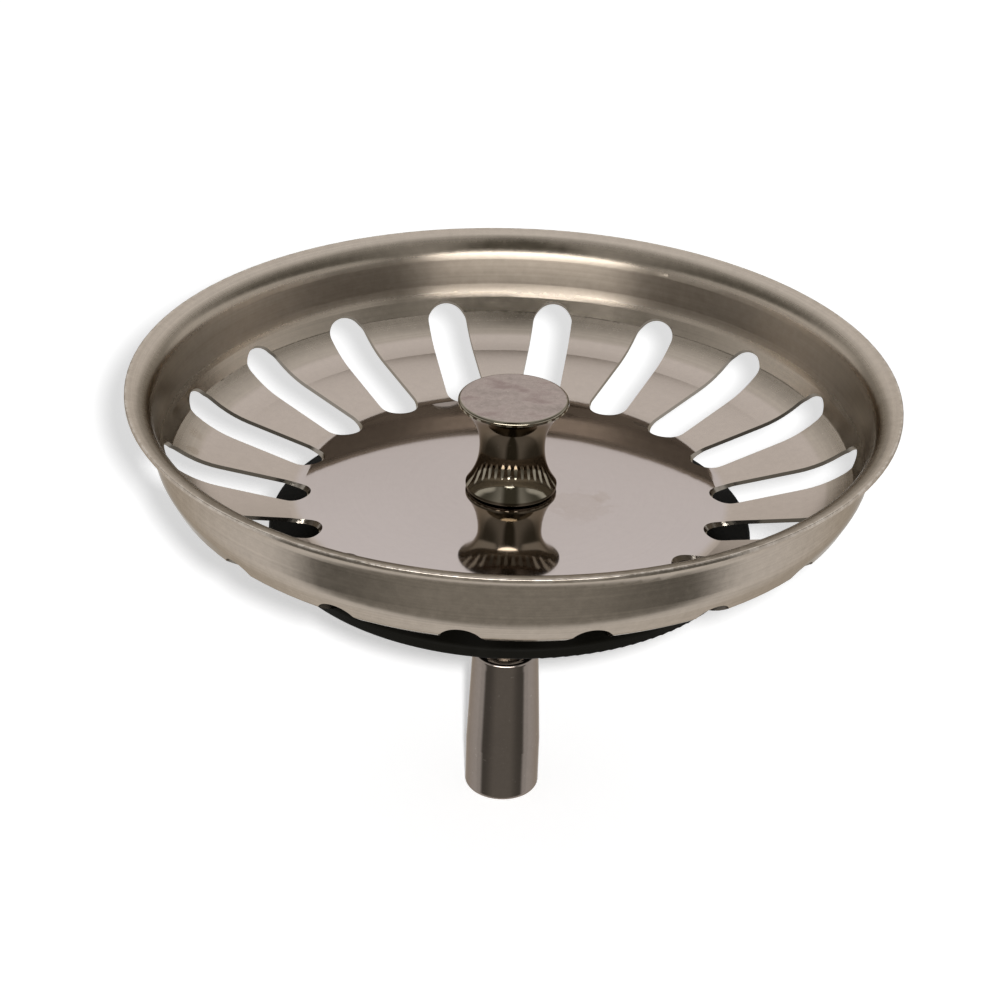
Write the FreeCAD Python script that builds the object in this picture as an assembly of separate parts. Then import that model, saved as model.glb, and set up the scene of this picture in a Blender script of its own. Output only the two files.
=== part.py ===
import FreeCAD, Part
import math
import os

os.makedirs("parts", exist_ok=True)
V = FreeCAD.Vector

# Basket, mm: the sheet is followed from the rim in to the centre hole
rim_d = 80.0
height = 49.7
bowl_depth = 13.05
sheet = 0.45
flange_w = 2.7
flange_tilt = math.radians(4.0)
lip_bend = 2.45
wall_lean = 0.55
knee_rise = 6.65
foot_lean = 1.15
wall_foot = 4.45
band_w = 2.47
band_foot = 2.52
cone_w = 10.43
land_d = 13.8
land_rise = 0.8

# Slots
slot_count = 18
slot_phase = 13.1
slot_w = 4.45
slot_inset = 1.55
slot_over = 1.2

# Spindle
rod_d = 4.0
rod_chamfer = 0.6
knob_h = 10.45
knob_wall = 1.43
knob_base_flare = 1.37
knob_top_flare = 2.35
knob_band = 0.52
knob_grip = 6.3
nut_wall = 1.5
nut_h = 3.2
tip_len = 17.6
tip_wall = 1.65
tip_flare = 0.41
tip_collar = 1.2
tip_land = 6.0
tip_soft = 0.5
tip_round = 0.7
tip_grip = 8.0
hole_spare = 0.5

# Rubber seal and its washer
seal_over = 2.8
seal_drop = 4.75
seal_edge = 1.3
seal_lip = 2.9
lip_slope = 1.6
skirt_t = 1.4
skirt_root = 2.1
shoulder_w = 9.6
shoulder_drop = 0.9
hub_t = 4.3
hub_over = 1.5
hub_slope = 1.2
seat_over = 0.9
washer_w = 5.7
washer_t = 1.0
washer_soft = 0.2

# Clearances
run_fit = 0.06
air_gap = 0.3
end_play = 0.1

# Stations worked out from the sizes above
rim_r = rim_d / 2
rod_r = rod_d / 2
edge_round = sheet / 4
edge_gain = edge_round * (math.sin(flange_tilt) + math.cos(flange_tilt) - 1)
edge_r = rim_r + edge_gain - sheet * math.sin(flange_tilt)
edge_z = height + edge_gain
floor_z = height - bowl_depth
lip_r = rim_r - flange_w
lip_z = edge_z - (edge_r - lip_r) * math.tan(flange_tilt)
knee_r = lip_r - wall_lean
knee_z = floor_z + knee_rise
crease_r = knee_r - foot_lean
crease_z = floor_z + wall_foot
cone_r = crease_r - band_w
cone_z = floor_z + band_foot
disc_r = cone_r - cone_w
land_r = land_d / 2
land_z = floor_z + land_rise
land_low = land_z - sheet
hole_r = rod_r + run_fit
bore_r = rod_r + air_gap


def unit(a, b):
    """Unit vector from point a to point b in the section plane."""
    d = math.hypot(b[0] - a[0], b[1] - a[1])
    return ((b[0] - a[0]) / d, (b[1] - a[1]) / d)


def section(points, radii):
    """Closed face in the XZ plane, each corner rounded as far as its two sides allow."""
    def at(p):
        return V(p[0], 0, p[1])

    n = len(points)
    half, reach = [], []
    for i in range(n):
        u = unit(points[i], points[i - 1])
        v = unit(points[i], points[(i + 1) % n])
        half.append(math.acos(max(-1.0, min(1.0, u[0] * v[0] + u[1] * v[1]))) / 2)
        reach.append(radii[i] / math.tan(half[i]))
    share = [1.0] * n
    for i in range(n):
        j = (i + 1) % n
        length = math.hypot(points[j][0] - points[i][0], points[j][1] - points[i][1])
        total = reach[i] + reach[j]
        if total > 0.98 * length:
            share[i] = min(share[i], 0.98 * length / total)
            share[j] = min(share[j], 0.98 * length / total)
    starts, ends, arcs = [], [], []
    for i in range(n):
        b = points[i]
        r = radii[i] * share[i]
        if r <= 0:
            starts.append(b)
            ends.append(b)
            arcs.append(None)
            continue
        u = unit(b, points[i - 1])
        v = unit(b, points[(i + 1) % n])
        step = r / math.tan(half[i])
        w = (u[0] + v[0], u[1] + v[1])
        k = math.hypot(w[0], w[1])
        far = r / math.sin(half[i]) - r
        starts.append((b[0] + u[0] * step, b[1] + u[1] * step))
        ends.append((b[0] + v[0] * step, b[1] + v[1] * step))
        arcs.append((b[0] + w[0] / k * far, b[1] + w[1] / k * far))
    edges = []
    for i in range(n):
        if arcs[i] is not None:
            edges.append(Part.Arc(at(starts[i]), at(arcs[i]), at(ends[i])).toShape())
        j = (i + 1) % n
        if math.hypot(ends[i][0] - starts[j][0], ends[i][1] - starts[j][1]) > 1e-6:
            edges.append(Part.makeLine(at(ends[i]), at(starts[j])))
    return Part.Face(Part.Wire(edges))


def spin(face):
    """Solid turned about the Z axis."""
    return face.revolve(V(0, 0, 0), V(0, 0, 1), 360)


def lower_line(points, t):
    """The same open line moved by t to its right, corner for corner."""
    moved = []
    for a, b in zip(points[:-1], points[1:]):
        d = unit(a, b)
        moved.append(((a[0] + t * d[1], a[1] - t * d[0]), d))
    out = [moved[0][0]]
    for (p, d), (q, e) in zip(moved[:-1], moved[1:]):
        cross = d[0] * e[1] - d[1] * e[0]
        s = ((q[0] - p[0]) * e[1] - (q[1] - p[1]) * e[0]) / cross
        out.append((p[0] + s * d[0], p[1] + s * d[1]))
    last = points[-1]
    d = moved[-1][1]
    out.append((last[0] + t * d[1], last[1] - t * d[0]))
    return out


def save(shape, name):
    """Write one piece as its own STEP file."""
    shape.exportStep("parts/" + name + ".step")


# Basket: the disc is domed by one arc from the flat land almost to the disc's edge
dome_w = disc_r - land_r
dome_half = math.atan2(land_rise, dome_w)
dome_r = (dome_w ** 2 + land_rise ** 2) / (2 * land_rise)
dome_reach = dome_r * math.tan(dome_half)
upper = [
    (hole_r, land_z),
    (land_r + dome_reach, land_z),
    (disc_r, floor_z),
    (cone_r, cone_z),
    (crease_r, crease_z),
    (knee_r, knee_z),
    (lip_r, lip_z),
    (edge_r, edge_z),
]
lower = lower_line(upper, sheet)
soft_dome = 0.9 * dome_r
soft_disc = 5.0
soft_cone = 12.0
soft_crease = 0.25
soft_knee = 4.0
upper_soft = [0, soft_dome, soft_disc, soft_cone, soft_crease, soft_knee, lip_bend + sheet,
              edge_round]
lower_soft = [0, soft_dome - sheet, soft_disc + sheet, soft_cone + sheet, soft_crease + sheet,
              soft_knee + sheet, lip_bend, edge_round]
basket = spin(section(upper + lower[::-1], upper_soft + lower_soft[::-1]))

slot_h = slot_w / 2
band = unit(upper[3], upper[4])
sink = 4 * sheet
in_mid = (disc_r - slot_inset - crease_r) * band[0] + (floor_z - crease_z) * band[1] + slot_h
out_mid = slot_over - slot_h


def slot_point(s, t):
    """Point of the slot outline, s up the outer band from the crease and t across the slot."""
    return V(crease_r + s * band[0] + sink * band[1], t, crease_z + s * band[1] - sink * band[0])


outline = Part.Wire([
    Part.makeLine(slot_point(in_mid, slot_h), slot_point(out_mid, slot_h)),
    Part.Arc(slot_point(out_mid, slot_h), slot_point(out_mid + slot_h, 0),
             slot_point(out_mid, -slot_h)).toShape(),
    Part.makeLine(slot_point(out_mid, -slot_h), slot_point(in_mid, -slot_h)),
    Part.Arc(slot_point(in_mid, -slot_h), slot_point(in_mid - slot_h, 0),
             slot_point(in_mid, slot_h)).toShape(),
])
punch = Part.Face(outline).extrude(V(-band[1], 0, band[0]) * (sink + bowl_depth))
punches = []
for i in range(slot_count):
    tool = punch.copy()
    tool.rotate(V(0, 0, 0), V(0, 0, 1), slot_phase - 90 + i * 360.0 / slot_count)
    punches.append(tool)
save(basket.cut(punches), "strainer_basket")

# Knob: turned spool with a blind tapped hole, standing on the land
neck_r = rod_r + knob_wall
base_r = neck_r + knob_base_flare
top_r = neck_r + knob_top_flare
knob_z = land_z + end_play
top_z = knob_z + knob_h
grip_z = knob_z + knob_grip
low_soft = 0.6 * knob_band
high_soft = 0.7 * knob_band
curve = [
    (base_r, knob_z + knob_band),
    (neck_r + 0.64 * knob_base_flare, knob_z + 0.125 * knob_h),
    (neck_r + 0.18 * knob_base_flare, knob_z + 0.275 * knob_h),
    (neck_r, knob_z + 0.45 * knob_h),
    (neck_r + 0.10 * knob_top_flare, knob_z + 0.645 * knob_h),
    (neck_r + 0.43 * knob_top_flare, knob_z + 0.805 * knob_h),
    (top_r, top_z - knob_band),
]
spline = Part.BSplineCurve()
spline.interpolate([V(r, 0, z) for r, z in curve])


def quarter(center_r, center_z, r, start):
    """Quarter arc of the knob's outline about a centre, from an angle in degrees."""
    def at(a):
        t = math.radians(a)
        return V(center_r + r * math.cos(t), 0, center_z + r * math.sin(t))

    return Part.Arc(at(start), at(start + 45), at(start + 90)).toShape()


knob_edges = [
    Part.makeLine(V(rod_r, 0, knob_z), V(base_r - low_soft, 0, knob_z)),
    quarter(base_r - low_soft, knob_z + low_soft, low_soft, -90),
    Part.makeLine(V(base_r, 0, knob_z + low_soft), V(base_r, 0, knob_z + knob_band)),
    spline.toShape(),
    Part.makeLine(V(top_r, 0, top_z - knob_band), V(top_r, 0, top_z - high_soft)),
    quarter(top_r - high_soft, top_z - high_soft, high_soft, 0),
    Part.makeLine(V(top_r - high_soft, 0, top_z), V(0, 0, top_z)),
    Part.makeLine(V(0, 0, top_z), V(0, 0, grip_z)),
    Part.makeLine(V(0, 0, grip_z), V(rod_r, 0, grip_z)),
    Part.makeLine(V(rod_r, 0, grip_z), V(rod_r, 0, knob_z)),
]
save(spin(Part.Face(Part.Wire(knob_edges))), "pull_knob")

# Rubber seal: thick hub under the land, thin skirt out to a flat sealing lip
washer_r = bore_r + washer_w
hub_r = washer_r + hub_over
hub_low = land_low - hub_t
seal_r = disc_r + seal_over
seal_low = floor_z - seal_drop
face_in = seal_r - seal_lip
seat_r = base_r + seat_over
shoulder = (seat_r + shoulder_w, land_low - shoulder_drop)
brim = (seal_r, seal_low + seal_edge)


def seal_top(r):
    """Height of the seal's upper side at a radius."""
    a, b = ((seat_r, land_low), shoulder) if r < shoulder[0] else (shoulder, brim)
    return a[1] + (b[1] - a[1]) * (r - a[0]) / (b[0] - a[0])


skirt_r = face_in - lip_slope
root_r = hub_r + hub_slope
seal_shape = [
    (bore_r, land_low),
    (seat_r, land_low),
    shoulder,
    brim,
    (seal_r - 0.1 * seal_edge, seal_low),
    (face_in, seal_low),
    (skirt_r, seal_top(skirt_r) - skirt_t),
    (root_r, seal_top(root_r) - skirt_root),
    (hub_r, hub_low),
    (bore_r, hub_low),
]
seal_soft = [0, 4.0, 6.0, 0.4, 0.3, 0.4, 1.0, 0.8, 0.5, 0]
save(spin(section(seal_shape, seal_soft)), "rubber_seal")

# Washer on the rubber, nut under it
washer_low = hub_low - washer_t
washer_shape = [(bore_r, washer_low), (washer_r, washer_low), (washer_r, hub_low),
                (bore_r, hub_low)]
save(spin(section(washer_shape, [0, washer_soft, washer_soft, 0])), "seal_washer")

flat_r = rod_r + nut_wall
corner_r = 2 * flat_r / math.sqrt(3)
nut_top = washer_low - end_play
nut_low = nut_top - nut_h
nut_bevel = 0.8 * (corner_r - flat_r)
corners = []
for i in range(7):
    t = math.radians(60 * i)
    corners.append(V(corner_r * math.cos(t), corner_r * math.sin(t), nut_low))
hexagon = Part.Face(Part.makePolygon(corners)).extrude(V(0, 0, nut_h))
bevel_r = 0.97 * flat_r
nut_shape = [(rod_r, nut_low), (bevel_r, nut_low), (corner_r, nut_low + nut_bevel),
             (corner_r, nut_top - nut_bevel), (bevel_r, nut_top), (rod_r, nut_top)]
save(hexagon.common(spin(section(nut_shape, [0] * 6))), "clamp_nut")

# Stem tip: shoulder, slight flare, straight land that runs in the drain's bush
tip_top_r = rod_r + tip_wall
tip_land_r = tip_top_r + tip_flare
tip_shape = [
    (rod_r, tip_len),
    (tip_top_r, tip_len),
    (tip_top_r, tip_len - tip_collar),
    (tip_land_r, tip_land),
    (tip_land_r, 0),
    (0, 0),
    (0, tip_len - tip_grip),
    (rod_r, tip_len - tip_grip),
]
save(spin(section(tip_shape, [0, tip_soft, 6.0, 0, tip_round, 0, 0, 0])), "stem_tip")

# Rod from the bottom of the tip's hole to the top of the knob's hole
rod_low = tip_len - tip_grip + hole_spare
rod_high = grip_z - hole_spare
rod_shape = [(0, rod_low), (rod_r - rod_chamfer, rod_low), (rod_r, rod_low + rod_chamfer),
             (rod_r, rod_high - rod_chamfer), (rod_r - rod_chamfer, rod_high), (0, rod_high)]
save(spin(section(rod_shape, [0] * 6)), "threaded_rod")
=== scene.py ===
"""Sink strainer: finishes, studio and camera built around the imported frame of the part.

Lengths are in metres in the part's own frame. The stem stands on the floor at the origin and the bowl
opens upwards. The basket is the still body; knob, rod, nut and tip turn with the spindle.
"""

import logging
import math
from dataclasses import dataclass, field
from enum import Enum
from typing import Union

import bmesh
import bpy
from mathutils import Matrix, Vector


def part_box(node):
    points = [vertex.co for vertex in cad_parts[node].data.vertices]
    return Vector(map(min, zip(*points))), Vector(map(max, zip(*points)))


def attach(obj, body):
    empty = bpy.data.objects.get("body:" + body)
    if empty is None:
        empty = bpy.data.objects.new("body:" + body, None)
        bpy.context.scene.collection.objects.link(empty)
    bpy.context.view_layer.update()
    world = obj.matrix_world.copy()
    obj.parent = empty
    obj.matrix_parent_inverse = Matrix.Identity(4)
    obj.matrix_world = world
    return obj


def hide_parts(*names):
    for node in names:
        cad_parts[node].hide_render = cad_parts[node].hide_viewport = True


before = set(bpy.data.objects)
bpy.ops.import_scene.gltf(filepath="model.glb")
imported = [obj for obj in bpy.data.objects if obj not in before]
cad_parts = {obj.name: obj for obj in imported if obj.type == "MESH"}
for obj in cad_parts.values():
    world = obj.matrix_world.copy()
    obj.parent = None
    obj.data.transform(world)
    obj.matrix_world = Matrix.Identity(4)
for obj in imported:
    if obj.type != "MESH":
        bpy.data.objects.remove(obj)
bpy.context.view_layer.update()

LOG = logging.getLogger("sink_strainer")
MM = 0.001
Colour = tuple[float, float, float]
Point = tuple[float, float, float]
Span = tuple[float, float]
WHITE: Colour = (1.0, 1.0, 1.0)
SCALAR_RESULTS = ("DOT_PRODUCT", "LENGTH", "DISTANCE")


class Body(Enum):
    """The two rigid bodies of the part."""

    BASKET = "basket"
    SPINDLE = "spindle"


class Slot(Enum):
    """The record's material slots."""

    BASKET = "basket_steel"
    KNOB = "knob_nickel"
    SEAL = "seal_rubber"
    FASTENER = "fastener_steel"
    TIP = "tip_nickel"


class Wire:
    """One output socket of a node tree that can stand in sums like a number."""

    def __init__(self, board: "Board", socket: bpy.types.NodeSocket) -> None:
        """Keep the socket and the board that its node is on."""
        self.board = board
        self.socket = socket

    def __add__(self, other: "Term") -> "Wire":
        """Sum."""
        return self.board.math("ADD", self, other)

    def __radd__(self, other: "Term") -> "Wire":
        """Sum with the number first."""
        return self.board.math("ADD", other, self)

    def __sub__(self, other: "Term") -> "Wire":
        """Difference."""
        return self.board.math("SUBTRACT", self, other)

    def __rsub__(self, other: "Term") -> "Wire":
        """Difference with the number first."""
        return self.board.math("SUBTRACT", other, self)

    def __mul__(self, other: "Term") -> "Wire":
        """Product."""
        return self.board.math("MULTIPLY", self, other)

    def __rmul__(self, other: "Term") -> "Wire":
        """Product with the number first."""
        return self.board.math("MULTIPLY", other, self)

    def __truediv__(self, other: "Term") -> "Wire":
        """Quotient."""
        return self.board.math("DIVIDE", self, other)

    def __rtruediv__(self, other: "Term") -> "Wire":
        """Quotient with the number first."""
        return self.board.math("DIVIDE", other, self)

    def __pow__(self, other: "Term") -> "Wire":
        """Power."""
        return self.board.math("POWER", self, other)

    def swing(self, amount: "Term") -> "Wire":
        """A noise from 0 to 1 as a change of up to half an amount up or down."""
        return (self - 0.5) * amount


Term = Union[Wire, float, int]
Paint = Union[Wire, Colour]


@dataclass(frozen=True)
class Noise:
    """One noise texture: how fine it is, how many layers it has and how rough they are."""

    scale: float = 1.0
    detail: float = 2.0
    rough: float = 0.5


class Board:
    """A node tree with short ways to put nodes on it."""

    FIRST_COLOUR = 6
    SECOND_COLOUR = 7
    MIXED_COLOUR = 2

    def __init__(self, tree: bpy.types.NodeTree) -> None:
        """Take a tree and clear it."""
        self.tree = tree
        tree.nodes.clear()

    def node(self, kind: str, settings: dict | None = None, sockets: dict | None = None) -> bpy.types.Node:
        """Add one node.

        Args:
            kind: The node's type name.
            settings: Properties that are set first.
            sockets: Values or wires for the inputs, by name or by number.

        Returns:
            The new node.
        """
        made = self.tree.nodes.new(kind)
        for name, value in (settings or {}).items():
            setattr(made, name, value)
        for key, value in (sockets or {}).items():
            if isinstance(value, Wire):
                self.tree.links.new(value.socket, made.inputs[key])
            else:
                made.inputs[key].default_value = value
        return made

    def wire(self, made: bpy.types.Node, output: Union[str, int] = 0) -> Wire:
        """An output of a node as a wire."""
        return Wire(self, made.outputs[output])

    def math(self, operation: str, first: Term, second: Term = 0.0) -> Wire:
        """A Math node on one or two terms."""
        made = self.node("ShaderNodeMath", {"operation": operation}, {0: first, 1: second})
        return self.wire(made)

    def step(self, value: Term, low: Term, high: Term) -> Wire:
        """A soft step that goes from 0 at low to 1 at high."""
        made = self.node(
            "ShaderNodeMapRange",
            {"interpolation_type": "SMOOTHSTEP"},
            {"Value": value, "From Min": low, "From Max": high},
        )
        return self.wire(made)

    def band(self, value: Term, centre: float, half: float) -> Wire:
        """A soft band: 1 at the centre, 0 at half a width or more from it."""
        return 1 - self.step(self.math("ABSOLUTE", value - centre), 0.0, half)

    def mix(self, share: Term, first: Paint, second: Paint) -> Wire:
        """Two colours mixed by a share from 0 to 1."""
        return self._blend("MIX", share, self._colour(first), self._colour(second))

    def tone(self, colour: Paint, level: Term) -> Wire:
        """A colour made lighter or darker by a level around 1."""
        return self._blend("MULTIPLY", 1.0, self._colour(colour), self.combine(level, level, level))

    def vector(self, operation: str, first: object, second: object = (0.0, 0.0, 0.0)) -> Wire:
        """A Vector Math node on two vectors."""
        made = self.node("ShaderNodeVectorMath", {"operation": operation}, {0: first, 1: second})
        return self.wire(made, "Value" if operation in SCALAR_RESULTS else "Vector")

    def combine(self, x: Term, y: Term, z: Term) -> Wire:
        """Three terms as one vector."""
        return self.wire(self.node("ShaderNodeCombineXYZ", {}, {0: x, 1: y, 2: z}))

    def split(self, value: Wire) -> tuple[Wire, Wire, Wire]:
        """The three parts of a vector."""
        made = self.node("ShaderNodeSeparateXYZ", {}, {0: value})
        return self.wire(made, 0), self.wire(made, 1), self.wire(made, 2)

    def noise(self, place: Wire, kind: Noise) -> Wire:
        """Noise from 0 to 1 at a place."""
        made = self.node(
            "ShaderNodeTexNoise",
            {"noise_dimensions": "3D"},
            {"Vector": place, "Scale": kind.scale, "Detail": kind.detail, "Roughness": kind.rough},
        )
        return self.wire(made)

    def bump(self, height: Wire, distance: float, strength: float) -> Wire:
        """A normal bent by a height."""
        made = self.node(
            "ShaderNodeBump",
            {},
            {"Height": height, "Distance": distance, "Strength": strength},
        )
        return self.wire(made)

    def _blend(self, blend: str, share: Term, first: object, second: object) -> Wire:
        """A Mix node on two colours in socket form."""
        made = self.node(
            "ShaderNodeMix",
            {"data_type": "RGBA", "blend_type": blend},
            {0: share, self.FIRST_COLOUR: first, self.SECOND_COLOUR: second},
        )
        return self.wire(made, self.MIXED_COLOUR)

    def _colour(self, value: Paint) -> object:
        """A colour in the form that a socket takes."""
        return value if isinstance(value, Wire) else (*value, 1.0)


class Place:
    """Where a point of the surface is: its coordinates, its radius from the axis and its normal."""

    ABOVE_ZERO = 1e-6

    def __init__(self, board: Board) -> None:
        """Put the coordinate nodes on a board.

        Args:
            board: The board of the material's nodes.
        """
        self.board = board
        coords = board.node("ShaderNodeTexCoord")
        self.here = board.wire(coords, "Object")
        x, y, self.z = board.split(self.here)
        self.radius = (x * x + y * y) ** 0.5
        safe = self.radius + self.ABOVE_ZERO
        self.cos = x / safe
        self.sin = y / safe
        geometry = board.node("ShaderNodeNewGeometry")
        normal_x, normal_y, self.up = board.split(board.wire(geometry, "Normal"))
        self.out = normal_x * self.cos + normal_y * self.sin
        self.across = normal_y * self.cos - normal_x * self.sin

    def around(self, turns: float, along: Wire) -> Wire:
        """A place for noise that runs in rings about the axis."""
        return self.board.combine(self.cos * turns, self.sin * turns, along)


def new_board(name: str) -> tuple[bpy.types.Material, Board]:
    """A new material and the board of its nodes.

    Args:
        name: Name of the material.

    Returns:
        The material and its empty board.
    """
    material = bpy.data.materials.new(name)
    material.use_nodes = True
    return material, Board(material.node_tree)


def close_board(board: Board, sockets: dict) -> None:
    """End a material in a Principled shader with the given socket values."""
    shader = board.node("ShaderNodeBsdfPrincipled", {}, sockets)
    board.node("ShaderNodeOutputMaterial", {}, {"Surface": board.wire(shader)})


def seen_in_mirror(board: Board, path: bpy.types.Node) -> Wire:
    """1 for a ray that comes off a mirror or through something clear, 0 for any other."""
    return board.wire(path, "Is Glossy Ray") + board.wire(path, "Is Transmission Ray")


@dataclass(frozen=True)
class Stain:
    """A dried water mark on the sheet: a ragged patch with a ring near its edge."""

    spot: Point
    reach: float
    depth: float
    ragged_reach: float = 2.2
    ring_at: float = 0.8
    ring_half: float = 0.3
    core: float = 0.5
    ring_share: float = 0.35
    core_share: float = 0.55

    def wire(self, place: Place, ragged: Wire) -> Wire:
        """How strong the mark is at a place.

        Args:
            place: The place on the sheet.
            ragged: Noise that breaks up the mark's edge.

        Returns:
            The strength, from 0 to 1.
        """
        board = place.board
        far = board.vector("DISTANCE", place.here, self.spot)
        rim = far + ragged.swing(self.reach) * self.ragged_reach
        ring = board.band(rim, self.reach * self.ring_at, self.reach * self.ring_half)
        inner = 1 - board.step(rim, self.reach * self.core, self.reach)
        return (ring * self.ring_share + inner * self.core_share) * ragged * self.depth


@dataclass(frozen=True)
class SheetMaps:
    """The zones and the grain of the sheet, each as a wire from 0 to 1."""

    place: Place
    outside: Wire
    past_disc: Wire
    past_dish: Wire
    flat_rim: Wire
    brushed: Wire
    lines: Wire
    long_lines: Wire
    brush: Wire
    cloud: Wire
    mottle: Wire
    stained: Wire

    def by_zone(self, disc: float, dish: float, brushed: float) -> Wire:
        """A value for the disc, with what the dish and the brushed metal add to it."""
        return disc + self.past_disc * dish + self.brushed * brushed


@dataclass(frozen=True)
class PressedSteel:
    """Stainless sheet: polished in the middle, satin on the slotted dish, brushed on wall and rim."""

    polished: Colour = (0.52, 0.462, 0.440)
    satin: Colour = (0.478, 0.412, 0.362)
    # wall: colour of the inside of the bowl past the dish, set darker than the outside of the same sheet:
    # painted shade.
    wall: Colour = (0.355, 0.304, 0.248)
    # rim: colour of the up-facing flange, set lighter than the outside of the same brushed sheet: painted
    # light.
    rim: Colour = (0.475, 0.414, 0.352)
    outer: Colour = (0.440, 0.383, 0.325)
    # colour of a painted glint on the rim's upper outer edge, mixed with metal rubbed bright by handling.
    glint_and_worn_edge: Colour = (0.62, 0.56, 0.50)
    cut: Colour = (0.27, 0.242, 0.208)
    stain: Colour = (0.30, 0.22, 0.15)
    edge_tint: Colour = (0.50, 0.46, 0.41)
    disc_r: float = 22.7 * MM
    dish_r: float = 33.2 * MM
    rim_r: float = 40.0 * MM
    edge: float = 0.5 * MM
    outward: Span = (-0.15, 0.15)
    rim_up: Span = (0.7, 0.95)
    bend_up: float = 0.52
    bend_half: float = 0.36
    # radial span, facing and patches of the painted glint and rubbed metal on the rim's outer edge.
    glint_and_worn_in: Span = (0.4 * MM, 0.1 * MM)
    glint_and_worn_up: Span = (-0.2, 0.4)
    glint_and_worn_patch: Span = (0.42, 0.62)
    glint_and_wear: float = 0.8
    cut_across: Span = (0.35, 0.6)
    outer_end: Span = (0.3, 0.5)
    inner_end: Span = (0.35, 0.55)
    end_slope: Span = (0.1, 0.3)
    disc_rough: float = 0.055
    dish_rough: float = 0.15
    wall_rough: float = 0.33
    bend_gloss: float = 0.14
    rim_rough: float = 0.20
    outer_rough: float = 0.17
    stain_rough: float = 0.2
    line_rough: float = 0.08
    mottle_rough: float = 0.10
    cloud_rough: float = 0.03
    level: float = 0.97
    brush_level: float = 0.06
    streak_level: float = 0.24
    cloud_level: float = 0.06
    mottle_level: tuple[float, float, float] = (0.05, 0.14, 0.12)
    brush_height: tuple[float, float, float] = (0.12, 0.4, 0.6)
    brush_depth: float = 0.0012 * MM
    brush_bump: float = 0.5
    stretch: float = 0.7
    stretch_turn: float = 0.25
    grain: float = 9000.0
    line_turns: float = 3.0
    long_turns: float = 1.2
    long_grain: float = 0.35
    line_share: float = 0.6
    long_share: float = 0.4
    lines: Noise = Noise(1.0, 3.0, 0.6)
    long_lines: Noise = Noise()
    cloud: Noise = Noise(70.0, 3.0, 0.55)
    mottle: Noise = Noise(1100.0, 4.0, 0.65)
    ragged: Noise = Noise(520.0, 4.0, 0.65)
    marks: tuple[Stain, ...] = (
        Stain((7.2 * MM, -3.4 * MM, 37.0 * MM), 3.2 * MM, 0.36),
        Stain((9.6 * MM, -1.6 * MM, 36.9 * MM), 1.3 * MM, 0.42),
        Stain((-34.0 * MM, 5.0 * MM, 39.6 * MM), 1.0 * MM, 0.5),
        Stain((-33.6 * MM, 1.5 * MM, 39.8 * MM), 0.8 * MM, 0.6),
        Stain((32.0 * MM, 11.2 * MM, 39.4 * MM), 1.0 * MM, 0.4),
    )

    def material(self, name: str) -> bpy.types.Material:
        """Build the node material.

        Args:
            name: Name of the material.

        Returns:
            The material.
        """
        material, board = new_board(name)
        maps = self._maps(board)
        height = maps.brush * maps.by_zone(*self.brush_height)
        close_board(
            board,
            {
                "Base Color": self._colour(board, maps),
                "Metallic": 1.0,
                "Roughness": self._rough(board, maps),
                "Specular Tint": (*self.edge_tint, 1.0),
                "Anisotropic": self.stretch,
                "Anisotropic Rotation": self.stretch_turn,
                "Normal": board.bump(height, self.brush_depth, self.brush_bump),
            },
        )
        return material

    def _maps(self, board: Board) -> SheetMaps:
        """Lay out the zones and the grain.

        Args:
            board: The board of the material's nodes.

        Returns:
            The wires of zones and grain.
        """
        place = Place(board)
        outside = board.step(place.out - place.up, *self.outward)
        past_disc = board.step(place.radius, self.disc_r - self.edge, self.disc_r + self.edge)
        past_dish = board.step(place.radius, self.dish_r - self.edge, self.dish_r + self.edge)
        along = (place.radius + place.z) * self.grain
        lines = board.noise(place.around(self.line_turns, along), self.lines)
        long_lines = board.noise(place.around(self.long_turns, along * self.long_grain), self.long_lines)
        return SheetMaps(
            place=place,
            outside=outside,
            past_disc=past_disc,
            past_dish=past_dish,
            flat_rim=board.step(place.up, *self.rim_up) * past_dish,
            brushed=board.math("MAXIMUM", past_dish, outside),
            lines=lines,
            long_lines=long_lines,
            brush=lines * self.line_share + long_lines * self.long_share,
            cloud=board.noise(place.here, self.cloud),
            mottle=board.noise(place.here, self.mottle),
            stained=self._stains(board, place),
        )

    def _colour(self, board: Board, maps: SheetMaps) -> Wire:
        """Colour the zones, rim painted light, inner wall painted shade, then painted glint, stain and cut.

        Args:
            board: The board of the material's nodes.
            maps: The zones and the grain.

        Returns:
            The base colour.
        """
        colour = board.mix(maps.past_disc, self.polished, self.satin)
        # past the dish the inside of the bowl takes the darker wall colour: painted shade inside the bowl.
        colour = board.mix(maps.past_dish, colour, self.wall)
        # the up-facing flange takes the lighter rim colour: painted light on the top of the sheet.
        colour = board.mix(maps.flat_rim, colour, self.rim)
        colour = board.mix(maps.outside, colour, self.outer)
        level = self.level + maps.brush.swing(self.brush_level)
        level = level + maps.long_lines.swing(self.streak_level) * maps.brushed
        level = level + maps.cloud.swing(self.cloud_level)
        level = level + maps.mottle.swing(maps.by_zone(*self.mottle_level))
        colour = board.tone(colour, level)
        # painted glint on the rim's upper outer edge, with metal rubbed bright by handling.
        colour = board.mix(self._edge_glint_and_wear(board, maps), colour, self.glint_and_worn_edge)
        colour = board.mix(maps.stained, colour, self.stain)
        return board.mix(self._cut_faces(board, maps.place), colour, self.cut)

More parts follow.
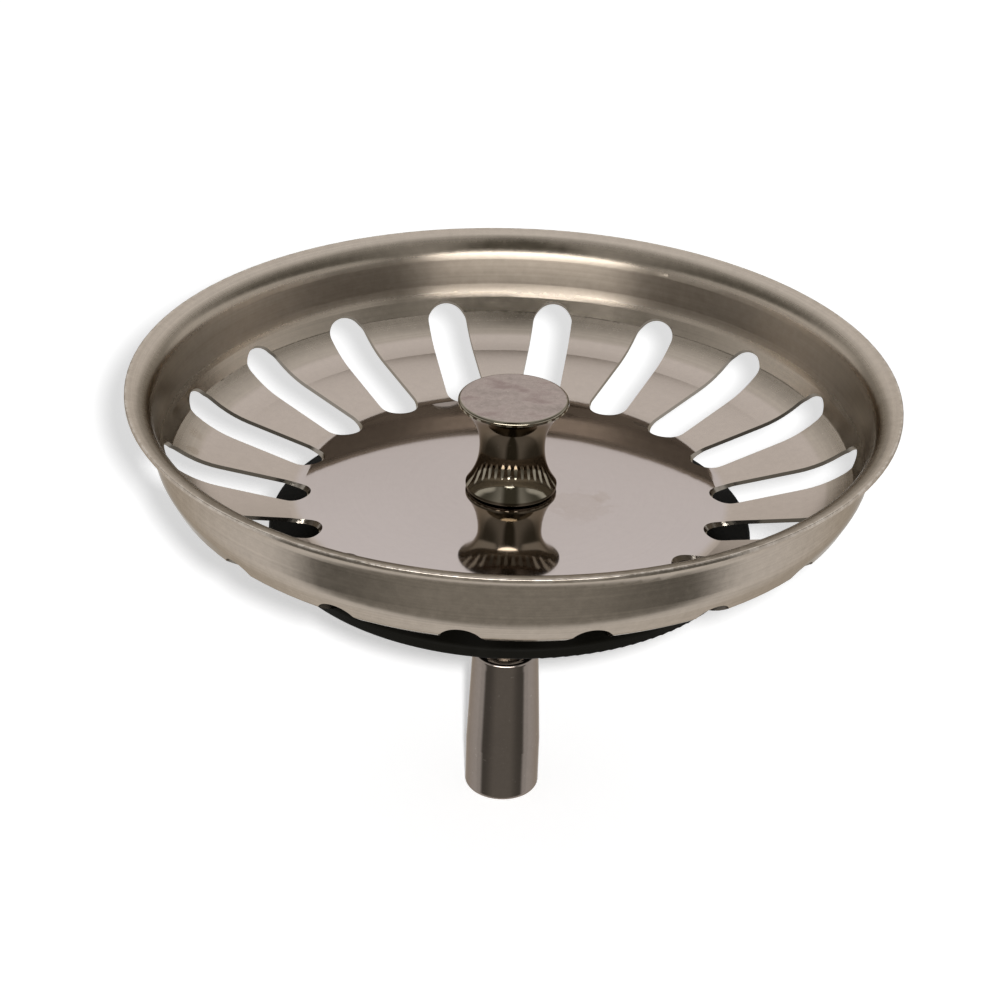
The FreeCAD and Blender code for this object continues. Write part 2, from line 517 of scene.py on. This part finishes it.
    def _rough(self, board: Board, maps: SheetMaps) -> Wire:
        """How rough each zone is, with burnished bends and dull stains.

        Args:
            board: The board of the material's nodes.
            maps: The zones and the grain.

        Returns:
            The roughness.
        """
        rough = self.disc_rough + maps.past_disc * (self.dish_rough - self.disc_rough)
        rough = rough + maps.past_dish * (self.wall_rough - self.dish_rough)
        burnish = board.band(maps.place.up, self.bend_up, self.bend_half) * maps.past_dish
        rough = rough - burnish * self.bend_gloss
        rough = rough + maps.flat_rim * (self.rim_rough - rough)
        rough = rough + maps.outside * (self.outer_rough - rough)
        grain = maps.lines.swing(self.line_rough) + maps.mottle.swing(self.mottle_rough)
        rough = rough + grain * maps.past_disc
        return rough + maps.cloud.swing(self.cloud_rough) + maps.stained * self.stain_rough

    def _edge_glint_and_wear(self, board: Board, maps: SheetMaps) -> Wire:
        """Where the rim's upper outer edge gets a painted glint, with metal rubbed by handling, from 0 to
        1.

        Args:
            board: The board of the material's nodes.
            maps: The zones and the grain.

        Returns:
            The share of painted glint and rubbed metal.
        """
        start, end = self.glint_and_worn_in
        edge = board.step(maps.place.radius, self.rim_r - start, self.rim_r - end)
        upper = board.step(maps.place.up, *self.glint_and_worn_up)
        return edge * upper * board.step(maps.mottle, *self.glint_and_worn_patch) * self.glint_and_wear

    def _cut_faces(self, board: Board, place: Place) -> Wire:
        """Where the punch has sheared the slots' sides and ends.

        Args:
            board: The board of the material's nodes.
            place: The place on the sheet.

        Returns:
            The share of sheared metal, from 0 to 1.
        """
        sides = board.step(board.math("ABSOLUTE", place.across), *self.cut_across)
        outer_ends = board.step(0 - place.out, *self.outer_end) * board.step(0 - place.up, *self.end_slope)
        inner_ends = board.step(place.out, *self.inner_end) * board.step(place.up, *self.end_slope)
        inner_ends = inner_ends * (1 - board.step(place.radius, self.dish_r, self.dish_r + self.edge))
        return board.math("MINIMUM", sides + outer_ends + inner_ends, 1.0)

    def _stains(self, board: Board, place: Place) -> Wire:
        """Where dried water has left marks.

        Args:
            board: The board of the material's nodes.
            place: The place on the sheet.

        Returns:
            The strength of the marks, from 0 to 1.
        """
        ragged = board.noise(place.here, self.ragged)
        total: Term = 0.0
        for mark in self.marks:
            total = mark.wire(place, ragged) + total
        return total


@dataclass(frozen=True)
class DarkNickel:
    """Glossy dark nickel plate over turned metal, with a satin face on top."""

    plate: Colour = (0.264, 0.234, 0.182)
    face: Colour = (0.405, 0.342, 0.316)
    smudge: Colour = (0.265, 0.202, 0.194)
    speck: Colour = (0.5, 0.46, 0.42)
    edge_tint: Colour = (0.60, 0.55, 0.50)
    plate_rough: float = 0.07
    face_rough: float = 0.24
    face_z: float = 1.0
    face_depth: float = 0.2 * MM
    face_up: Span = (0.9, 0.99)
    ring_pitch: float = 0.18 * MM
    rings: Noise = Noise()
    smear_scale: Point = (190.0, 330.0, 190.0)
    smear: Noise = Noise(1.0, 4.0, 0.55)
    smear_mean: float = 0.4
    smear_rough: float = 0.10
    smear_level: float = 1.0
    smudge_from: Span = (0.50, 0.66)
    smudge_share: float = 0.75
    cloud: Noise = Noise(160.0)
    cloud_level: float = 0.10
    cloud_rough: float = 0.03
    fine: Noise = Noise(2200.0, 3.0, 0.6)
    fine_level: float = 0.16
    face_fine_level: float = 0.3
    specks: Noise = Noise(2600.0, 1.0)
    speck_from: Span = (0.72, 0.78)
    speck_share: float = 0.35
    speck_rough: float = 0.12
    level: float = 0.93
    bump_depth: float = 0.0015 * MM
    bump_strength: float = 0.6

    def material(self, name: str) -> bpy.types.Material:
        """Build the node material.

        Args:
            name: Name of the material.

        Returns:
            The material.
        """
        material, board = new_board(name)
        place = Place(board)
        top = board.step(place.up, *self.face_up)
        top = top * board.step(place.z, self.face_z - self.face_depth, self.face_z)
        rings = board.noise(place.around(1.0, (place.radius + place.z) / self.ring_pitch), self.rings)
        smear = board.noise(board.vector("MULTIPLY", place.here, self.smear_scale), self.smear)
        cloud = board.noise(place.here, self.cloud)
        fine = board.noise(place.here, self.fine)
        specks = board.step(board.noise(place.here, self.specks), *self.speck_from)
        level = self.level + cloud * self.cloud_level + fine.swing(self.fine_level)
        level = level + (smear.swing(self.smear_level) + fine.swing(self.face_fine_level)) * top
        colour = board.tone(board.mix(top, self.plate, self.face), level)
        smudged = board.step(smear, *self.smudge_from) * top * self.smudge_share
        colour = board.mix(smudged, colour, self.smudge)
        colour = board.mix(specks * (1 - top) * self.speck_share, colour, self.speck)
        rough = self.plate_rough + top * (self.face_rough - self.plate_rough)
        rough = rough + (smear - self.smear_mean) * self.smear_rough * top
        rough = rough + cloud.swing(self.cloud_rough) + specks * self.speck_rough
        close_board(
            board,
            {
                "Base Color": colour,
                "Metallic": 1.0,
                "Specular Tint": (*self.edge_tint, 1.0),
                "Roughness": rough,
                "Normal": board.bump(rings + smear * top, self.bump_depth, self.bump_strength),
            },
        )
        return material


@dataclass(frozen=True)
class BlackRubber:
    """Moulded black rubber with a fine skin and a little bloom in patches."""

    base: Colour = (0.0046, 0.0042, 0.0030)
    bloom: Colour = (0.011, 0.010, 0.008)
    bloom_from: Span = (0.48, 0.74)
    bloom_share: float = 0.55
    rough: float = 0.62
    shine: float = 0.05
    skin: Noise = Noise(3800.0, 3.0, 0.6)
    skin_rough: float = 0.10
    cloud: Noise = Noise(130.0, 4.0, 0.6)
    cloud_rough: float = 0.22
    rings: Noise = Noise()
    ring_grain: float = 2600.0
    ring_share: float = 0.8
    bump_depth: float = 0.02 * MM
    bump_strength: float = 0.5

    def material(self, name: str) -> bpy.types.Material:
        """Build the node material.

        Args:
            name: Name of the material.

        Returns:
            The material.
        """
        material, board = new_board(name)
        place = Place(board)
        skin = board.noise(place.here, self.skin)
        cloud = board.noise(place.here, self.cloud)
        dust = board.step(cloud, *self.bloom_from)
        rings = board.noise(place.around(1.0, (place.radius + place.z) * self.ring_grain), self.rings)
        height = skin + rings * self.ring_share
        close_board(
            board,
            {
                "Base Color": board.mix(dust * self.bloom_share, self.base, self.bloom),
                "Roughness": self.rough + cloud.swing(self.cloud_rough) + skin.swing(self.skin_rough),
                "Specular IOR Level": self.shine,
                "Normal": board.bump(height, self.bump_depth, self.bump_strength),
            },
        )
        return material


@dataclass(frozen=True)
class FastenerSteel:
    """Bright turned steel of washer, nut and threaded rod, a little dulled."""

    bright: Colour = (0.50, 0.475, 0.435)
    dull: Colour = (0.33, 0.305, 0.270)
    dull_from: Span = (0.42, 0.72)
    rough: float = 0.24
    dull_rough: float = 0.14
    cloud: Noise = Noise(420.0, 4.0, 0.6)
    turned: Noise = Noise()
    turned_rough: float = 0.10
    turned_turns: float = 2.0
    turned_grain: float = 6000.0
    turned_climb: float = 0.4
    bump_depth: float = 0.004 * MM
    bump_strength: float = 0.5

    def material(self, name: str) -> bpy.types.Material:
        """Build the node material.

        Args:
            name: Name of the material.

        Returns:
            The material.
        """
        material, board = new_board(name)
        place = Place(board)
        along = (place.radius + place.z * self.turned_climb) * self.turned_grain
        turned = board.noise(place.around(self.turned_turns, along), self.turned)
        dulled = board.step(board.noise(place.here, self.cloud), *self.dull_from)
        close_board(
            board,
            {
                "Base Color": board.mix(dulled, self.bright, self.dull),
                "Metallic": 1.0,
                "Roughness": self.rough + dulled * self.dull_rough + turned.swing(self.turned_rough),
                "Normal": board.bump(turned, self.bump_depth, self.bump_strength),
            },
        )
        return material


def dress(node: str, material: bpy.types.Material) -> None:
    """Give a CAD node's object a material in every slot.

    Args:
        node: Name of the CAD node.
        material: The material it shows.
    """
    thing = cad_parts[node]
    if not thing.material_slots:
        thing.data.materials.append(None)
    for material_slot in thing.material_slots:
        material_slot.link = "OBJECT"
        material_slot.material = material
    LOG.info("dressed %s in %s", node, material.name)


@dataclass
class Bowl:
    """The pressed basket."""

    node: str = "strainer_basket"
    steel: PressedSteel = field(default_factory=PressedSteel)

    def build(self) -> None:
        """Dress the sheet."""
        dress(self.node, self.steel.material(Slot.BASKET.value))


@dataclass
class SealStack:
    """The rubber disc and the washer that carries it."""

    rubber_node: str = "rubber_seal"
    washer_node: str = "seal_washer"
    rubber: BlackRubber = field(default_factory=BlackRubber)

    def build(self, fastener: bpy.types.Material) -> None:
        """Dress the rubber and the washer."""
        dress(self.rubber_node, self.rubber.material(Slot.SEAL.value))
        dress(self.washer_node, fastener)


@dataclass
class Spindle:
    """Knob, threaded rod, nut and stem tip, which turn together.

    The thread's profile gives, up one pitch, the share of the pitch and the share of the depth.
    """

    knob_node: str = "pull_knob"
    rod_node: str = "threaded_rod"
    nut_node: str = "clamp_nut"
    tip_node: str = "stem_tip"
    cut_rod: str = "threaded_rod_cut"
    tip_plate: Colour = (0.250, 0.214, 0.190)
    tip_rough: float = 0.11
    pitch: float = 0.7 * MM
    thread_depth: float = 0.36 * MM
    profile: tuple[Span, ...] = ((0.0, 0.0), (0.14, 0.0), (0.5, 1.0), (0.62, 1.0))
    lead_in: float = 0.6 * MM
    lead_slope: float = 0.8
    turn_steps: int = 40
    weld: float = 1e-7

    def build(self, fastener: bpy.types.Material) -> None:
        """Dress the turned pieces and cut the rod's thread.

        Args:
            fastener: The fasteners' shared material.
        """
        knob_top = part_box(self.knob_node)[1].z
        dress(self.knob_node, DarkNickel(face_z=knob_top).material(Slot.KNOB.value))
        tip = DarkNickel(plate=self.tip_plate, plate_rough=self.tip_rough)
        dress(self.tip_node, tip.material(Slot.TIP.value))
        dress(self.nut_node, fastener)
        self._cut_thread(fastener)

    def _cut_thread(self, fastener: bpy.types.Material) -> None:
        """Replace the plain rod with one that carries its thread.

        Args:
            fastener: Material of the rod.
        """
        low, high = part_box(self.rod_node)
        crest = (high.x - low.x) / 2
        mesh = bpy.data.meshes.new(self.cut_rod)
        shape = bmesh.new()
        columns = self._thread_columns(shape, low.z, high.z, crest)
        self._skin(shape, columns)
        bmesh.ops.remove_doubles(shape, verts=shape.verts, dist=self.weld)
        bmesh.ops.dissolve_degenerate(shape, edges=shape.edges, dist=self.weld)
        bmesh.ops.recalc_face_normals(shape, faces=shape.faces)
        shape.to_mesh(mesh)
        shape.free()
        rod = bpy.data.objects.new(self.cut_rod, mesh)
        bpy.context.scene.collection.objects.link(rod)
        mesh.materials.append(fastener)
        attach(rod, Body.SPINDLE.value)
        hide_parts(self.rod_node)
        LOG.info("cut thread on %s with %d faces", rod.name, len(mesh.polygons))

    def _thread_columns(
        self, shape: bmesh.types.BMesh, low: float, high: float, crest: float
    ) -> list[list[bmesh.types.BMVert]]:
        """Lay out the helix as one column of points for each step of a turn.

        Args:
            shape: The mesh being made.
            low: Bottom of the rod.
            high: Top of the rod.
            crest: Radius over the thread's crests.

        Returns:
            The columns, each from the bottom up.
        """
        turns = math.ceil((high - low) / self.pitch) + 2
        columns = []
        for step in range(self.turn_steps + 1):
            share = step / self.turn_steps
            angle = 2 * math.pi * share
            column = []
            for turn in range(turns):
                for climb, depth in self.profile:
                    z = low + self.pitch * (turn - 1 + climb + share)
                    held = min(max(z, low), high)
                    ease = min(held - low, high - held, self.lead_in) / self.lead_in
                    chamfer = crest - self.lead_in * self.lead_slope * (1 - ease)
                    radius = min(crest - depth * self.thread_depth, chamfer)
                    spot = (radius * math.cos(angle), radius * math.sin(angle), held)
                    column.append(shape.verts.new(spot))
            columns.append(column)
        return columns

    def _skin(self, shape: bmesh.types.BMesh, columns: list[list[bmesh.types.BMVert]]) -> None:
        """Join neighbouring columns with faces and close both ends.

        Args:
            shape: The mesh being made.
            columns: The columns of points.
        """
        for left, right in zip(columns, columns[1:]):
            for index in range(len(left) - 1):
                shape.faces.new((left[index], right[index], right[index + 1], left[index + 1]))
        for end in (0, -1):
            centre = shape.verts.new((0.0, 0.0, columns[0][end].co.z))
            for left, right in zip(columns, columns[1:]):
                shape.faces.new((left[end], right[end], centre))


@dataclass
class Room:
    """The room that the metal mirrors: a pale back wall, a dim front and a table below.

    A span gives the two ends of a soft step in the ray's direction, whose parts are side, ahead and
    height.
    """

    ambient: float = 0.28
    room_dark: Colour = (0.105, 0.100, 0.080)
    table_dark: Colour = (0.33, 0.32, 0.295)
    horizon: Span = (-0.25, 0.05)
    table_ahead: Span = (-0.10, 0.14)
    table_tilt: float = 0.3
    table_sides: Span = (0.3, 0.72)
    table_side_dim: float = 0.45
    glow_height: Span = (-0.63, -0.58)
    glow_ahead: Span = (-0.40, -0.24)
    table_glow: float = 0.85
    back_ahead: Span = (0.34, 0.60)
    ceiling_tilt: float = 0.42
    low_back: Span = (0.18, 0.38)
    horizon_dim: float = 0.70
    front_turn: Span = (0.22, 0.6)
    front_least: float = 0.02
    front_level: float = 0.45
    dim_side: Span = (0.35, 0.85)
    dim_height: Span = (0.20, 0.34)
    side_dim: float = 0.85
    low_side: Span = (0.50, 0.80)
    low_height: Span = (0.34, 0.44)
    side_level: float = 0.95

    def build(self, scene: bpy.types.Scene) -> None:
        """Give the scene its world: the room to a mirror, white to the eye, dim light to the rest.

        Args:
            scene: The scene.
        """
        world = bpy.data.worlds.new("studio_room")
        world.use_nodes = True
        scene.world = world
        board = Board(world.node_tree)
        room = self._mirrored_room(board)
        path = board.node("ShaderNodeLightPath")
        level = (self.ambient, self.ambient, self.ambient)
        colour = board.mix(seen_in_mirror(board, path), level, room)
        colour = board.mix(board.wire(path, "Is Camera Ray"), colour, WHITE)
        light = board.node("ShaderNodeBackground", {}, {"Color": colour, "Strength": 1.0})
        board.node("ShaderNodeOutputWorld", {}, {"Surface": board.wire(light)})

    def _mirrored_room(self, board: Board) -> Wire:
        """Colour the room by the direction of a ray.

        Args:
            board: The board of the world's nodes.

        Returns:
            The room's colour.
        """
        coords = board.node("ShaderNodeTexCoord")
        across, ahead, height = board.split(board.wire(coords, "Generated"))
        side = board.math("ABSOLUTE", across)
        above = board.step(height, *self.horizon)
        table = self._table(board, ahead, height)
        bright = table + (self._walls(board, side, ahead, height) - table) * above
        sides = board.step(side, *self.table_sides)
        table_dark = board.tone(self.table_dark, 1 - sides * self.table_side_dim)
        dark = board.mix(above, table_dark, self.room_dark)
        return board.mix(bright, dark, WHITE)

    def _table(self, board: Board, ahead: Wire, height: Wire) -> Wire:
        """How bright the table is, with a glow around the foot of the stem.

        Args:
            board: The board of the world's nodes.
            ahead: The ray's part away from the camera.
            height: The ray's part upwards.

        Returns:
            The share of white, from 0 to 1.
        """
        table = board.step(ahead - height * self.table_tilt, *self.table_ahead)
        beside = board.step(height, *self.glow_height) * board.step(ahead, *self.glow_ahead)
        return board.math("MAXIMUM", table, beside * self.table_glow)

    def _walls(self, board: Board, side: Wire, ahead: Wire, height: Wire) -> Wire:
        """How bright the walls and the ceiling are.

        Args:
            board: The board of the world's nodes.
            side: The ray's part to either side.
            ahead: The ray's part away from the camera.
            height: The ray's part upwards.

        Returns:
            The share of white, from 0 to 1.
        """
        back = board.step(ahead + height * self.ceiling_tilt, *self.back_ahead)
        back = back * (1 - (1 - board.step(height, *self.low_back)) * self.horizon_dim)
        turned = side / (board.math("MAXIMUM", 0 - ahead, 0.0) + self.front_least)
        front = board.step(turned, *self.front_turn) * self.front_level
        wall = board.math("MAXIMUM", back, front)
        dimmed = board.step(side, *self.dim_side) * board.step(height, *self.dim_height)
        wall = wall * (1 - dimmed * self.side_dim)
        low_side = board.step(side, *self.low_side) * (1 - board.step(height, *self.low_height))
        return board.math("MAXIMUM", wall, low_side * self.side_level)


@dataclass
class Studio:
    """Camera, floor, room and lamps."""

    room: Room = field(default_factory=Room)
    camera_spot: Point = (-0.00013, -0.26200, 0.18059)
    camera_right: Point = (0.99946, 0.01861, 0.02697)
    camera_up: Point = (-0.03261, 0.48328, 0.87486)
    camera_ahead: Point = (-0.00324, 0.87527, -0.48363)
    camera_clip: float = 5.0 * MM
    focal_px: float = 2835.3
    image_px: float = 1000.0
    sensor_mm: float = 36.0
    floor_r: float = 2.5
    floor_sides: int = 96
    floor_albedo: float = 0.95
    floor_white: float = 0.82
    fibre: Noise = Noise(900.0, 3.0)
    fibre_level: float = 0.02
    object_middle: Point = (0.0, 0.0, 0.03)
    box_spot: Point = (-0.04, -0.60, 0.13)
    box_w: float = 0.84
    box_h: float = 0.18
    box_watts: float = 4.20
    lamp_right: float = 0.009
    lamp_above: float = 0.005
    lamp_size: float = 0.011
    lamp_share: float = 0.835

    def build(self) -> None:
        """Set up everything that isn't part of the object."""
        scene = bpy.context.scene
        scene.view_settings.view_transform = "Standard"
        self._camera(scene)
        self.room.build(scene)
        floor = self._floor(scene)
        self._front_box(scene, floor)
        self._shadow_lamp(scene, floor)

    def _camera(self, scene: bpy.types.Scene) -> None:
        """Stand the camera where the photograph was taken.

        Args:
            scene: The scene.
        """
        data = bpy.data.cameras.new("photo_camera")
        data.sensor_fit = "HORIZONTAL"
        data.sensor_width = self.sensor_mm
        data.lens = self.focal_px * self.sensor_mm / self.image_px
        data.clip_start = self.camera_clip
        data.dof.use_dof = False
        camera = bpy.data.objects.new("photo_camera", data)
        turn = Matrix((self.camera_right, self.camera_up, -Vector(self.camera_ahead))).transposed()
        camera.matrix_world = Matrix.Translation(self.camera_spot) @ turn.to_4x4()
        scene.collection.objects.link(camera)
        scene.camera = camera
        LOG.info("camera lens %.1f mm", data.lens)

    def _floor(self, scene: bpy.types.Scene) -> bpy.types.Object:
        """Lay a pale floor that keeps the object's shadow.

        Args:
            scene: The scene.

        Returns:
            The floor.
        """
        mesh = bpy.data.meshes.new("studio_floor")
        shape = bmesh.new()
        bmesh.ops.create_circle(shape, cap_ends=True, segments=self.floor_sides, radius=self.floor_r)
        shape.to_mesh(mesh)
        shape.free()
        floor = bpy.data.objects.new("studio_floor", mesh)
        scene.collection.objects.link(floor)
        mesh.materials.append(self._floor_finish())
        return floor

    def _floor_finish(self) -> bpy.types.Material:
        """Make the floor white to the eye, plain paper to the light and clear to a mirror.

        Returns:
            The material.
        """
        material, board = new_board("studio_paper")
        coords = board.node("ShaderNodeTexCoord")
        here = board.wire(coords, "Object")
        path = board.node("ShaderNodeLightPath")
        fibre = board.noise(here, self.fibre) * self.fibre_level
        glow = self._floor_glow(board, here) * board.wire(path, "Is Camera Ray")
        paper = board.node(
            "ShaderNodeBsdfPrincipled",
            {},
            {
                "Base Color": board.tone(WHITE, self.floor_albedo - self.fibre_level / 2 + fibre),
                "Roughness": 1.0,
                "Specular IOR Level": 0.0,
                "Emission Color": board.tone(WHITE, glow),
                "Emission Strength": 1.0,
            },
        )
        clear = board.node("ShaderNodeBsdfTransparent")
        both = board.node(
            "ShaderNodeMixShader",
            {},
            {0: seen_in_mirror(board, path), 1: board.wire(paper), 2: board.wire(clear)},
        )
        board.node("ShaderNodeOutputMaterial", {}, {"Surface": board.wire(both)})
        return material

    def _floor_glow(self, board: Board, here: Wire) -> Wire:
        """What the floor has to add to the shadow lamp's light to be white.

        Args:
            board: The board of the floor's nodes.
            here: The place on the floor.

        Returns:
            The level of the glow.
        """
        spot = self._lamp_spot()
        away = board.vector("SUBTRACT", here, tuple(spot))
        far = board.vector("LENGTH", away)
        facing = board.vector("DOT_PRODUCT", away, tuple(self._aim(spot))) / far
        slant = board.math("MAXIMUM", facing, 0.0) * spot.z / far
        return self.floor_white - slant * self.lamp_share

    def _lamp_spot(self) -> Vector:
        """Where the shadow lamp hangs, beside the camera."""
        spot = Vector(self.camera_spot)
        return spot + Vector(self.camera_right) * self.lamp_right + Vector(self.camera_up) * self.lamp_above

    def _aim(self, spot: Vector) -> Vector:
        """The way a lamp at a spot faces: towards the middle of the object."""
        return (Vector(self.object_middle) - spot).normalized()

    def _front_box(self, scene: bpy.types.Scene, floor: bpy.types.Object) -> None:
        """Set a soft box low in front of the object, which doesn't light the floor.

        Args:
            scene: The scene.
            floor: The floor.
        """
        data = bpy.data.lights.new("front_soft_box", "AREA")
        data.shape = "ELLIPSE"
        data.size = self.box_w
        data.size_y = self.box_h
        data.energy = self.box_watts
        box = self._hang(scene, data, Vector(self.box_spot))
        unlit = bpy.data.collections.new("all_but_floor")
        unlit.objects.link(floor)
        unlit.collection_objects[0].light_linking.link_state = "EXCLUDE"
        box.light_linking.receiver_collection = unlit

    def _shadow_lamp(self, scene: bpy.types.Scene, floor: bpy.types.Object) -> None:
        """Set a small lamp by the camera that lights the floor alone and casts the shadow on it.

        Args:
            scene: The scene.
            floor: The floor.
        """
        data = bpy.data.lights.new("shadow_lamp", "AREA")
        data.shape = "DISK"
        data.size = self.lamp_size
        data.energy = self.lamp_share * math.pi**2 / self.floor_albedo
        data.use_nodes = True
        board = Board(data.node_tree)
        even = board.node("ShaderNodeLightFalloff", {}, {"Strength": 1.0})
        glow = board.node("ShaderNodeEmission", {}, {"Strength": board.wire(even, "Constant")})
        board.node("ShaderNodeOutputLight", {}, {"Surface": board.wire(glow)})
        lamp = self._hang(scene, data, self._lamp_spot())
        lit = bpy.data.collections.new("floor_only")
        lit.objects.link(floor)
        lamp.light_linking.receiver_collection = lit

    def _hang(self, scene: bpy.types.Scene, data: bpy.types.Light, spot: Vector) -> bpy.types.Object:
        """Put a lamp at a spot, aimed at the middle of the object.

        Args:
            scene: The scene.
            data: The lamp's data.
            spot: Where it hangs.

        Returns:
            The lamp's object.
        """
        lamp = bpy.data.objects.new(data.name, data)
        turn = self._aim(spot).to_track_quat("-Z", "Y").to_matrix()
        lamp.matrix_world = Matrix.Translation(spot) @ turn.to_4x4()
        scene.collection.objects.link(lamp)
        LOG.info("lamp %s", data.name)
        return lamp


def main() -> None:
    """Build the studio, then dress each sub-assembly."""
    logging.basicConfig(level=logging.INFO, format="%(name)s: %(message)s")
    Studio().build()
    fastener = FastenerSteel().material(Slot.FASTENER.value)
    Bowl().build()
    SealStack().build(fastener)
    Spindle().build(fastener)


if __name__ == "__main__":
    main()
